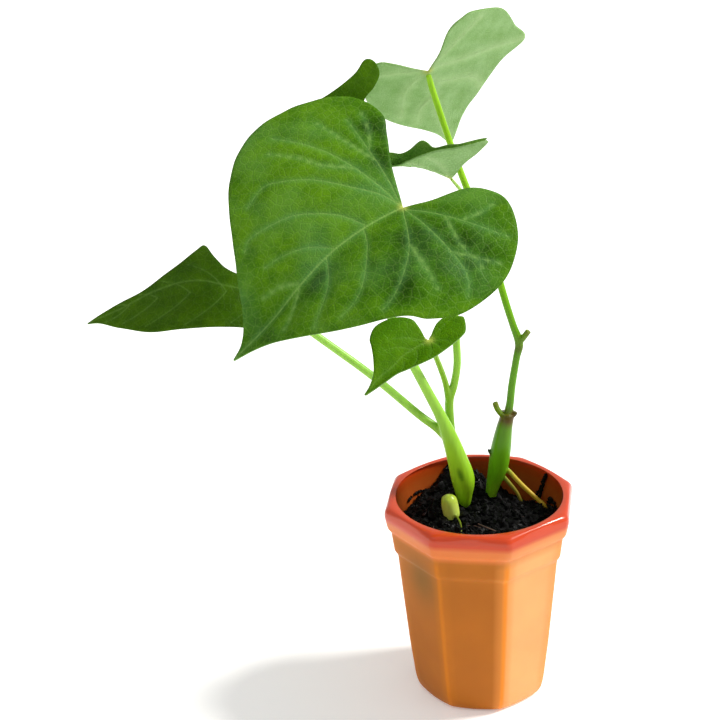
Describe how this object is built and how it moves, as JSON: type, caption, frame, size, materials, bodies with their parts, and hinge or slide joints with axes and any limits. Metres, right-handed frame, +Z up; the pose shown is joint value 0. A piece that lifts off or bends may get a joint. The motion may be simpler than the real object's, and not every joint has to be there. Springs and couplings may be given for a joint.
{
  "type": "potted vine plant",
  "caption": "Sweet potato vine cuttings with heart-shaped leaves on bent stems, rooted in a small eight-sided plastic pot of soil.",
  "frame": {"origin": "middle of the pot's foot, on the surface it stands on", "axes": "+Z up along the pot's axis, -Y towards the side seen in the picture, +X to the right of that view"},
  "size_m": [0.1512, 0.1063, 0.2164],
  "materials": {
    "pot_plastic": "thin satin orange-brown moulded plastic, brighter at the rim",
    "potting_soil": null,
    "stem_pale": null,
    "stem_mid": null,
    "shoot_yellow": null,
    "leaf_upper": null,
    "leaf_young": null,
    "leaf_under": null
  },
  "bodies": {
    "root": {"pot": "pot_plastic", "soil": "potting_soil", "stem_left": "stem_pale", "stem_right": "stem_mid", "shoot_pale": "shoot_yellow", "leaf_big": "leaf_upper", "leaf_left": "leaf_upper", "leaf_small": "leaf_young", "leaf_top": "leaf_under", "leaf_mid": "leaf_upper", "leaf_back": "leaf_upper"}
  },
  "joints": []
}
